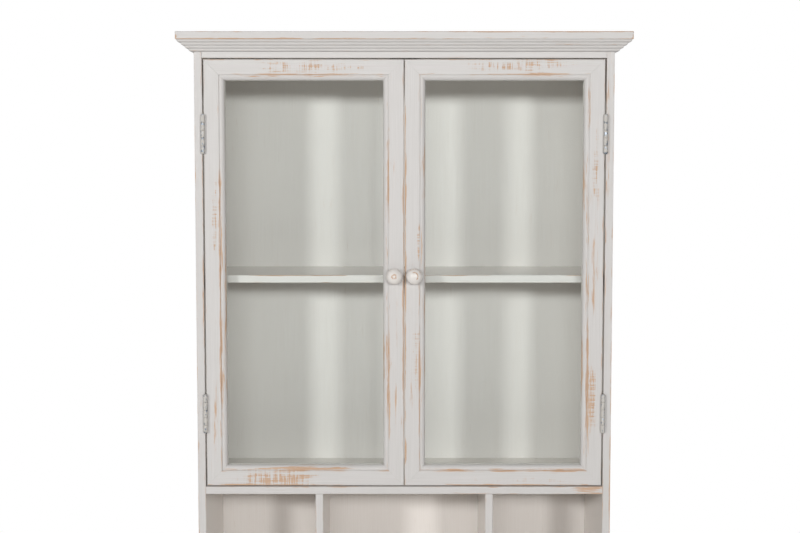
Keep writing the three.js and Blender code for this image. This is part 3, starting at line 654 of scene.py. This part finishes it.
# Hand wear: centre (distance along, distance from the outer edge), reach and strength. Stiles on
# a door's left run upwards and those on its right downwards; top rails run right, bottom rails
# left.
DOOR_WEAR = {
    "door_left": {
        "left": {"rub": [((0.43, 0.0235), (0.11, 0.0022), 0.5), ((0.10, 0.014), (0.06, 0.0035), 0.78),
                         ((0.27, 0.0310), (0.14, 0.0022), 0.72), ((0.41, 0.017), (0.05, 0.005), 0.5),
                         ((0.20, 0.0233), (0.15, 0.0018), 0.6), ((0.06, 0.0225), (0.05, 0.002), 0.5)],
                 "saw": [((0.43, 0.014), (0.06, 0.006), 0.4)]},
        "right": {"rub": [((0.215, 0.0), (0.03, 0.004), 0.6), ((0.45, 0.0), (0.13, 0.003), 0.55),
                          ((0.17, 0.0235), (0.06, 0.0022), 0.7), ((0.19, 0.0315), (0.04, 0.002), 0.6),
                          ((0.52, 0.0235), (0.09, 0.003), 0.55), ((0.16, 0.013), (0.03, 0.003), 0.35),
                          ((0.42, 0.010), (0.05, 0.004), 0.35), ((0.53, 0.013), (0.05, 0.002), 0.68),
                          ((0.565, 0.003), (0.015, 0.003), 0.7), ((0.48, 0.0312), (0.07, 0.0018), 0.7)]},
        "top": {"saw": [((0.15, 0.011), (0.07, 0.007), 0.75), ((0.23, 0.014), (0.04, 0.006), 0.5)],
                "rub": [((0.13, 0.0225), (0.08, 0.003), 0.55), ((0.07, 0.030), (0.05, 0.002), 0.4)]},
        "bottom": {"rub": [((0.205, 0.010), (0.07, 0.011), 0.52), ((0.16, 0.0275), (0.08, 0.004), 0.7),
                           ((0.23, 0.002), (0.09, 0.003), 0.5)],
                   "saw": [((0.205, 0.011), (0.07, 0.012), 0.6)]},
    },
    "door_right": {
        "left": {"rub": [((0.482, 0.001), (0.05, 0.0035), 0.72), ((0.22, 0.0), (0.13, 0.0035), 0.6),
                         ((0.51, 0.0305), (0.06, 0.0022), 0.7), ((0.49, 0.014), (0.02, 0.0015), 0.55),
                         ((0.147, 0.010), (0.04, 0.002), 0.66), ((0.169, 0.0312), (0.075, 0.0018), 0.7),
                         ((0.15, 0.018), (0.07, 0.003), 0.5), ((0.24, 0.021), (0.06, 0.0025), 0.5),
                         ((0.052, 0.001), (0.02, 0.003), 0.65), ((0.32, 0.031), (0.10, 0.0018), 0.6),
                         ((0.35, 0.0), (0.24, 0.003), 0.6), ((0.12, 0.0232), (0.10, 0.0018), 0.6)],
                 "saw": [((0.39, 0.021), (0.03, 0.003), 0.5), ((0.2, 0.016), (0.06, 0.006), 0.35)]},
        "right": {"rub": [((0.05, 0.0235), (0.045, 0.002), 0.5), ((0.33, 0.015), (0.085, 0.004), 0.6),
                          ((0.54, 0.014), (0.05, 0.004), 0.6), ((0.15, 0.013), (0.06, 0.006), 0.6),
                          ((0.18, 0.0312), (0.06, 0.002), 0.75),
                          ((0.545, 0.018), (0.055, 0.005), 0.66), ((0.25, 0.010), (0.12, 0.004), 0.45),
                          ((0.483, 0.0312), (0.06, 0.002), 0.8), ((0.5, 0.0232), (0.13, 0.0018), 0.6),
                          ((0.62, 0.022), (0.03, 0.003), 0.4), ((0.18, 0.016), (0.06, 0.003), 0.5)],
                  "saw": [((0.54, 0.014), (0.05, 0.006), 0.3), ((0.16, 0.012), (0.06, 0.006), 0.3)]},
        "top": {"saw": [((0.175, 0.010), (0.08, 0.007), 0.8)],
                "rub": [((0.19, 0.0225), (0.07, 0.002), 0.65)]},
        "bottom": {"rub": [((0.10, 0.0235), (0.13, 0.0020), 0.52), ((0.24, 0.024), (0.05, 0.002), 0.5),
                           ((0.16, 0.001), (0.12, 0.002), 0.45)],
                   "saw": [((0.13, 0.008), (0.10, 0.005), 0.45)]},
    },
}


def pane_glass(name, tint):
    """Float glass, 3 mm: nearly clear with a faint cold cast, and a weak mirror where a ray enters,
    by Fresnel's formula. A ray that leaves passes straight through."""
    material, tree = new_material(name)
    clear = node(tree, "ShaderNodeBsdfTransparent", Color=linear(tint)).outputs[0]
    mirror = node(tree, "ShaderNodeBsdfGlossy", Color=linear("#FFFFFF"), Roughness=0.02).outputs[0]
    leaving = node(tree, "ShaderNodeNewGeometry").outputs["Backfacing"]
    edge_on = arithmetic(tree, "MULTIPLY", node(tree, "ShaderNodeFresnel", IOR=1.5).outputs[0],
                         arithmetic(tree, "SUBTRACT", 1.0, leaving))
    surface = node(tree, "ShaderNodeMixShader", i0=edge_on, i1=clear, i2=mirror).outputs[0]
    node(tree, "ShaderNodeOutputMaterial", Surface=surface)
    return material


PANE = pane_glass("float glass", "#FCFEFE")
BEAD_WIDTH = 0.0068

for door_number, body in enumerate(("door_left", "door_right")):
    left_name, right_name = ("hinge_stile", "meeting_stile")[:: 1 if body == "door_left" else -1]
    low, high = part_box(f"{body}_{left_name}")
    far_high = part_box(f"{body}_{right_name}")[1]
    rail_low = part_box(f"{body}_bottom_rail")[0]
    top_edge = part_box(f"{body}_top_rail")[1].z
    height = top_edge - rail_low.z
    width = far_high.x - low.x
    wear = DOOR_WEAR[body]
    first_seed = 30 + 5 * door_number
    frame_length(f"{body}_{left_name}", body, (low.x, low.y, rail_low.z), (RIGHT, BACK, UP),
                 height, first_seed, **wear["left"])
    frame_length(f"{body}_{right_name}", body, (far_high.x, low.y, top_edge),
                 (LEFT, BACK, DOWN), height, first_seed + 1, **wear["right"])
    frame_length(f"{body}_top_rail", body, (low.x, low.y, top_edge), (DOWN, BACK, RIGHT),
                 width, first_seed + 2, **wear["top"])
    frame_length(f"{body}_bottom_rail", body, (far_high.x, low.y, rail_low.z), (UP, BACK, LEFT),
                 width, first_seed + 3, **wear["bottom"])
    pane = nodes[f"{body}_glass"]
    pane.data.materials.clear()
    pane.data.materials.append(PANE)

    # The bead: four mitred strips pinned into the rebate behind the pane.
    bead_low, bead_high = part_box(f"{body}_glazing_bead")
    bead_depth = bead_high.y - bead_low.y
    section, bead_arrises = rounded_section(BEAD_WIDTH, bead_depth)
    runs = {
        "left": (bead_low, (RIGHT, BACK, UP), bead_high.z - bead_low.z),
        "right": ((bead_high.x, bead_low.y, bead_high.z), (LEFT, BACK, DOWN),
                  bead_high.z - bead_low.z),
        "top": ((bead_low.x, bead_low.y, bead_high.z), (DOWN, BACK, RIGHT),
                bead_high.x - bead_low.x),
        "bottom": ((bead_high.x, bead_low.y, bead_low.z), (UP, BACK, LEFT),
                   bead_high.x - bead_low.x),
    }
    for run_number, (edge, (start, axes, length)) in enumerate(runs.items()):
        options = {"slopes": (1, -1), "seed": 60 + 4 * door_number + run_number}
        strip = carry("bead", section, bead_arrises, start, axes, length, options)
        stands_for = [f"{body}_glazing_bead"] if edge == "left" else []
        piece(f"{body}_bead_{edge}", strip, INNER_PAINT, body, "paint", *stands_for)

# ---- Knobs -----------------------------------------------------------------------------------
# Turned from lime wood, painted with the cabinet and rubbed bare on the face. A door knob is held
# by a bolt from behind the stile, a drawer knob by a spigot glued into the front.
KNOB_RADIUS = 0.01275
KNOB_LENGTH = 0.024
HEAD_DEPTH = 0.019
FOOT_RADIUS = 0.006
NECK_RADIUS = 0.005
# How far a knob's coat goes toward the lighter copy: painted light, so the knobs stand brighter.
KNOB_PAINTED_LIGHT = 0.7
front_of = {body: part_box(f"{body}_top_rail")[0].y for body in ("door_left", "door_right")}
for bay in ("left", "middle", "right"):
    front_of[f"drawer_{bay}"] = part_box(f"drawer_{bay}_front")[0].y


def knob_profile():
    """(radius, height): a foot, a concave neck, and a head that is an ellipse with a flattened
    crown, from 62 degrees below its middle to 86 degrees above."""
    angles = np.radians(np.linspace(-62, 86, 22))
    middle = KNOB_LENGTH - HEAD_DEPTH / 2
    head_r = KNOB_RADIUS * np.cos(angles)
    head_h = middle + HEAD_DEPTH / 2 * np.sign(angles) * np.abs(np.sin(angles)) ** 1.15
    neck = np.array([(FOOT_RADIUS, 0.0003), (FOOT_RADIUS, 0.0012), (0.0056, 0.0020),
                     (NECK_RADIUS, 0.0033), (0.0051, 0.0046)])
    return np.concatenate([neck, np.stack([head_r, head_h], axis=1)])


def ring(x, z, radius, width):
    """A worn ring about the knob's axis: exp(-((distance - radius) / width) ** 2)."""
    return np.exp(-(((np.hypot(x, z) - radius) / width) ** 2))


def ring_wear(x, z):
    rim = 0.6 * ring(x, z, 0.0110, 0.0012) * np.clip(0.4 - x / 0.02, 0, 1)
    return rim + 1.1 * ring(x, z, 0.0032, 0.0013)


def crescent_wear(x, z):
    moon = ring(x + 0.001, z - 0.0005, 0.0062, 0.0013) * np.clip(0.5 + (x + 0.5 * z) / 0.006, 0, 1)
    rim = 0.6 * ring(x, z, 0.0112, 0.0012) * np.clip(0.4 + z / 0.02, 0, 1)
    return rim + 1.1 * moon


def edge_wear(x, z):
    return 0.8 * ring(x, z, 0.0095, 0.0014)


def knob(cad_node, body, wear, seed):
    """A knob on its body's front face. wear gives the rub at (x, z) from the knob's axis."""
    low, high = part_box(cad_node)
    centre = np.array([(low.x + high.x) / 2, front_of[body], (low.z + high.z) / 2])
    points, faces = turned(knob_profile(), centre, FORWARD, 48)
    mesh = joined(cad_node, [(points, faces)])
    offset = points - centre
    grain = np.stack([offset[:, 1], offset[:, 0], offset[:, 2]], axis=1) + seed * 0.37
    write(mesh, "grain", "FLOAT_VECTOR", grain)
    write(mesh, "arris", "FLOAT", np.full(len(points), 1.0))
    on_crown = offset[:, 1] < -0.6 * KNOB_LENGTH
    write(mesh, "rub", "FLOAT", 0.95 * wear(offset[:, 0], offset[:, 2]) * on_crown)
    write(mesh, "saw", "FLOAT", np.zeros(len(points)))
    write(mesh, "bare", "FLOAT", np.zeros(len(points)))
    # The knob takes part of the lighter coat: painted light.
    write(mesh, "inside", "FLOAT", np.full(len(points), KNOB_PAINTED_LIGHT))
    piece(cad_node + "_turning", mesh, FRONT_PAINT, body, "paint", cad_node)


knob("door_left_knob", "door_left", ring_wear, 1)
knob("door_right_knob", "door_right", crescent_wear, 2)
for bay_number, bay in enumerate(("left", "middle", "right")):
    knob(f"drawer_{bay}_knob", f"drawer_{bay}", edge_wear, 3 + bay_number)

BOLT_HEAD = 0.0024
for body in ("door_left", "door_right"):
    bolt_low, bolt_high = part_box(f"{body}_knob_screw")
    axis = ((bolt_low.x + bolt_high.x) / 2, bolt_high.y, (bolt_low.z + bolt_high.z) / 2)
    radius = (bolt_high.x - bolt_low.x) / 2
    shank = bolt_high.y - bolt_low.y
    bolt = [(0.0006, 0.0007), (0.0012, 0.0001), (0.55 * radius, 0.0), (0.85 * radius, 0.0005),
            (radius, 0.5 * BOLT_HEAD), (radius, BOLT_HEAD), (0.5 * radius, BOLT_HEAD),
            (0.5 * radius, shank)]
    mesh = joined("bolt", [turned(bolt, axis, FORWARD, 24)])
    piece(f"{body}_knob_bolt", mesh, BRIGHT_ZINC, body, "steel", f"{body}_knob_screw")

# ---- Butt hinges -----------------------------------------------------------------------------
# Pressed steel, zinc plated, five knuckles on a loose pin. They were painted over with the cabinet,
# and the zinc has come through on the knuckles. The screws sit inside the closed gap.
KNUCKLES = 5
KNUCKLE_RADIUS = 0.0035
KNUCKLE_GAP = 0.0003
KNUCKLE_ROUND = 0.0005
BORE_RADIUS = 0.00158
LEAF_THICKNESS = 0.0009
LEAF_ROUND = 0.0002
LEAF_INSET = 0.00015  # from the pin's axis to the plate
TAB_REACH = 0.0025
TAB_OVERLAP = 0.0013  # how far a tab runs into its knuckle
SCREW_RADIUS = 0.0028
SCREW_LEVELS = (0.14, 0.5, 0.86)
PIN_SHANK = 0.0015
MIDDLE_SCREW_STEP = 0.003


def knuckle(axis, z0, z1):
    """A short tube with its outer arrises rounded, as a ring of revolution about the pin."""
    c, r = KNUCKLE_ROUND, KNUCKLE_RADIUS
    profile = [(BORE_RADIUS, z0), (r - c, z0), (r - 0.3 * c, z0 + 0.3 * c), (r, z0 + c),
               (r, z1 - c), (r - 0.3 * c, z1 - 0.3 * c), (r - c, z1), (BORE_RADIUS, z1)]
    return turned(profile, (axis[0], axis[1], 0.0), UP, 32, ring=True)


def hinge_leaf(cad_node, body, first, towards):
    """The plate, its own knuckles and the tabs between them, and three countersunk screws."""
    low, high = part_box(cad_node)
    axis = ((low.x + high.x) / 2, low.y + KNUCKLE_RADIUS)
    base = low.z - KNUCKLE_GAP / 2
    pitch = (high.z - low.z + KNUCKLE_GAP) / KNUCKLES
    x0 = axis[0] + (LEAF_INSET if towards > 0 else -LEAF_INSET - LEAF_THICKNESS)
    plate_y = axis[1] + KNUCKLE_RADIUS + KNUCKLE_GAP
    section, _ = rounded_section(LEAF_THICKNESS, high.y - plate_y, LEAF_ROUND)
    shells = [swept(section, (x0, plate_y, low.z), (RIGHT, BACK, UP), high.z - low.z,
                    rounding=LEAF_ROUND)]
    for index in range(first, KNUCKLES, 2):
        z0 = base + index * pitch + KNUCKLE_GAP / 2
        z1 = base + (index + 1) * pitch - KNUCKLE_GAP / 2
        shells.append(knuckle(axis, z0, z1))
        tab, _ = rounded_section(LEAF_THICKNESS, TAB_REACH, LEAF_ROUND)
        start = (x0, axis[1] + KNUCKLE_RADIUS - TAB_OVERLAP, z0)
        shells.append(swept(tab, start, (RIGHT, BACK, UP), z1 - z0, rounding=LEAF_ROUND))
    piece(cad_node + "_pressing", joined(cad_node, shells), PAINTED_ZINC, body, "zinc", cad_node)
    face = x0 if towards > 0 else x0 + LEAF_THICKNESS
    outward = LEFT if towards > 0 else RIGHT
    heads = []
    for level in SCREW_LEVELS:
        screw_y = plate_y + 0.4 * (high.y - plate_y) + MIDDLE_SCREW_STEP * (level == 0.5)
        spot = (face, screw_y, low.z + level * (high.z - low.z))
        heads.append(screw_head(spot, outward, SCREW_RADIUS, 0.0001))
    piece(cad_node + "_screws", joined(cad_node + "_screws", heads), BRIGHT_ZINC, body, "steel")


for hand, sign in (("left", -1), ("right", 1)):
    for level in ("lower", "upper"):
        hinge_leaf(f"hinge_{hand}_{level}_cabinet_leaf", "carcass", 0, sign)
        hinge_leaf(f"hinge_{hand}_{level}_door_leaf", f"door_{hand}", 1, -sign)
        pin_node = f"hinge_{hand}_{level}_pin"
        low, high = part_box(pin_node)
        middle = ((low.x + high.x) / 2, (low.y + high.y) / 2, low.z)
        length = high.z - low.z
        dome = (high.x - low.x) / 2
        head = [(0.3 * dome, 0.0), (0.75 * dome, 0.0002), (dome, 0.0007), (dome, 0.001),
                (PIN_SHANK, 0.001)]
        pin = head + [(r, length - h) for r, h in head[::-1]]
        mesh = joined(pin_node, [turned(pin, middle, UP, 32)])
        piece(pin_node + "_turning", mesh, PAINTED_ZINC, "carcass", "zinc", pin_node)

# ---- Catch and strike plates -----------------------------------------------------------------
# A moulded double magnetic catch screwed under the top board, and one plated steel strike on the
# back of each door.


def block(cad_node, rounding):
    """A box in its CAD node's place with rounded arrises, carried upwards."""
    low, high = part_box(cad_node)
    section, _ = rounded_section(high.x - low.x, high.y - low.y, rounding)
    return swept(section, low, (RIGHT, BACK, UP), high.z - low.z, 0.01, rounding=rounding)


def moulded_plastic(name, colour):
    """Injection-moulded ABS: one even colour with the faint texture of a spark-eroded tool."""
    material, tree = new_material(name)
    place = node(tree, "ShaderNodeTexCoord").outputs["Object"]
    texture = node(tree, "ShaderNodeTexNoise", Vector=place, Scale=2500.0, Detail=1.0)
    bump = node(tree, "ShaderNodeBump", Height=texture.outputs["Fac"], Strength=0.3,
                Distance=0.00005)
    shader = node(tree, "ShaderNodeBsdfPrincipled", Base_Color=linear(colour), Roughness=0.45,
                  Normal=bump.outputs[0])
    node(tree, "ShaderNodeOutputMaterial", Surface=shader.outputs[0])
    return material


CATCH_BODY = moulded_plastic("moulded ABS, ivory", "#E9E5DA")
CATCH_ROUND = 0.0012
STRIKE_ROUND = 0.0003
STRIKE_SCREW = (0.0025, 0.0004)  # radius, height of the head
mesh = joined("catch", [block("magnetic_catch", CATCH_ROUND)])
piece("magnetic_catch_case", mesh, CATCH_BODY, "carcass", "catch_plastic", "magnetic_catch")
for body in ("door_left", "door_right"):
    plate = f"{body}_strike_plate"
    low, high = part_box(plate)
    screw = screw_head(((low.x + high.x) / 2, high.y, (low.z + high.z) / 2), BACK, *STRIKE_SCREW)
    mesh = joined(plate, [block(plate, STRIKE_ROUND), screw])
    piece(plate + "_pressing", mesh, BRIGHT_ZINC, body, "zinc", plate)

# ---- Drawers ---------------------------------------------------------------------------------
# Painted fronts over bare lime wood trays: two sides, a front and a back glued round a thin bottom.
BARE_WOOD = worn_paint("lime wood, bare", ("#D2B18F", "#CBA580"), "#D2B18F", "#B98F68", 0.0, 0.7)
TRAY_WALL = 0.008
TRAY_FLOOR = 0.004
TRAY_ROUND = 0.0006


def tray_board(name, body, low, high, grain, seed, *stands_for):
    """A plank of a tray between two corners, its grain along X or Y."""
    size = np.array(high) - np.array(low)
    order = {"X": (2, 1, 0), "Y": (0, 2, 1)}[grain]
    section, edges = rounded_section(size[order[0]], size[order[1]], TRAY_ROUND)
    directions = [AXES["XYZ"[k]] for k in order]
    options = {"seed": seed, "spacing": 0.04}
    board = carry(name, section, edges, low, directions, size[order[2]], options)
    piece(name, board, BARE_WOOD, body, "bare_wood", *stands_for)


for bay_number, bay in enumerate(("left", "middle", "right")):
    body = f"drawer_{bay}"
    plank(f"{body}_front", body, "X", seed=70 + bay_number, spacing=0.006, rub_depth=0.006,
          rub=[((0.05, 0.0), (0.05, 0.003), 0.7), ((0.12, 0.117), (0.05, 0.003), 0.7),
               ((0.04, 0.060), (0.03, 0.005), 0.5), ((0.13, 0.022), (0.04, 0.004), 0.55)],
          saw=[((0.05 + 0.03 * bay_number, 0.100), (0.04, 0.009), 0.65)])
    low, high = (np.array(corner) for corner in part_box(f"{body}_tray"))
    seed = 80 + 5 * bay_number
    wall_top = high[2]
    inner_low = low + (TRAY_WALL, TRAY_WALL, 0)
    inner_high = high - (TRAY_WALL, TRAY_WALL, 0)
    tray_board(f"{body}_tray_left_side", body, low, (inner_low[0], high[1], wall_top), "Y", seed,
               f"{body}_tray")
    tray_board(f"{body}_tray_right_side", body, (inner_high[0], low[1], low[2]), high, "Y",
               seed + 1)
    tray_board(f"{body}_tray_front", body, (inner_low[0], low[1], low[2]),
               (inner_high[0], inner_low[1], wall_top), "X", seed + 2)
    tray_board(f"{body}_tray_back", body, (inner_low[0], inner_high[1], low[2]),
               (inner_high[0], high[1], wall_top), "X", seed + 3)
    tray_board(f"{body}_tray_bottom", body, (inner_low[0], inner_low[1], low[2]),
               (inner_high[0], inner_high[1], low[2] + TRAY_FLOOR), "Y", seed + 4)
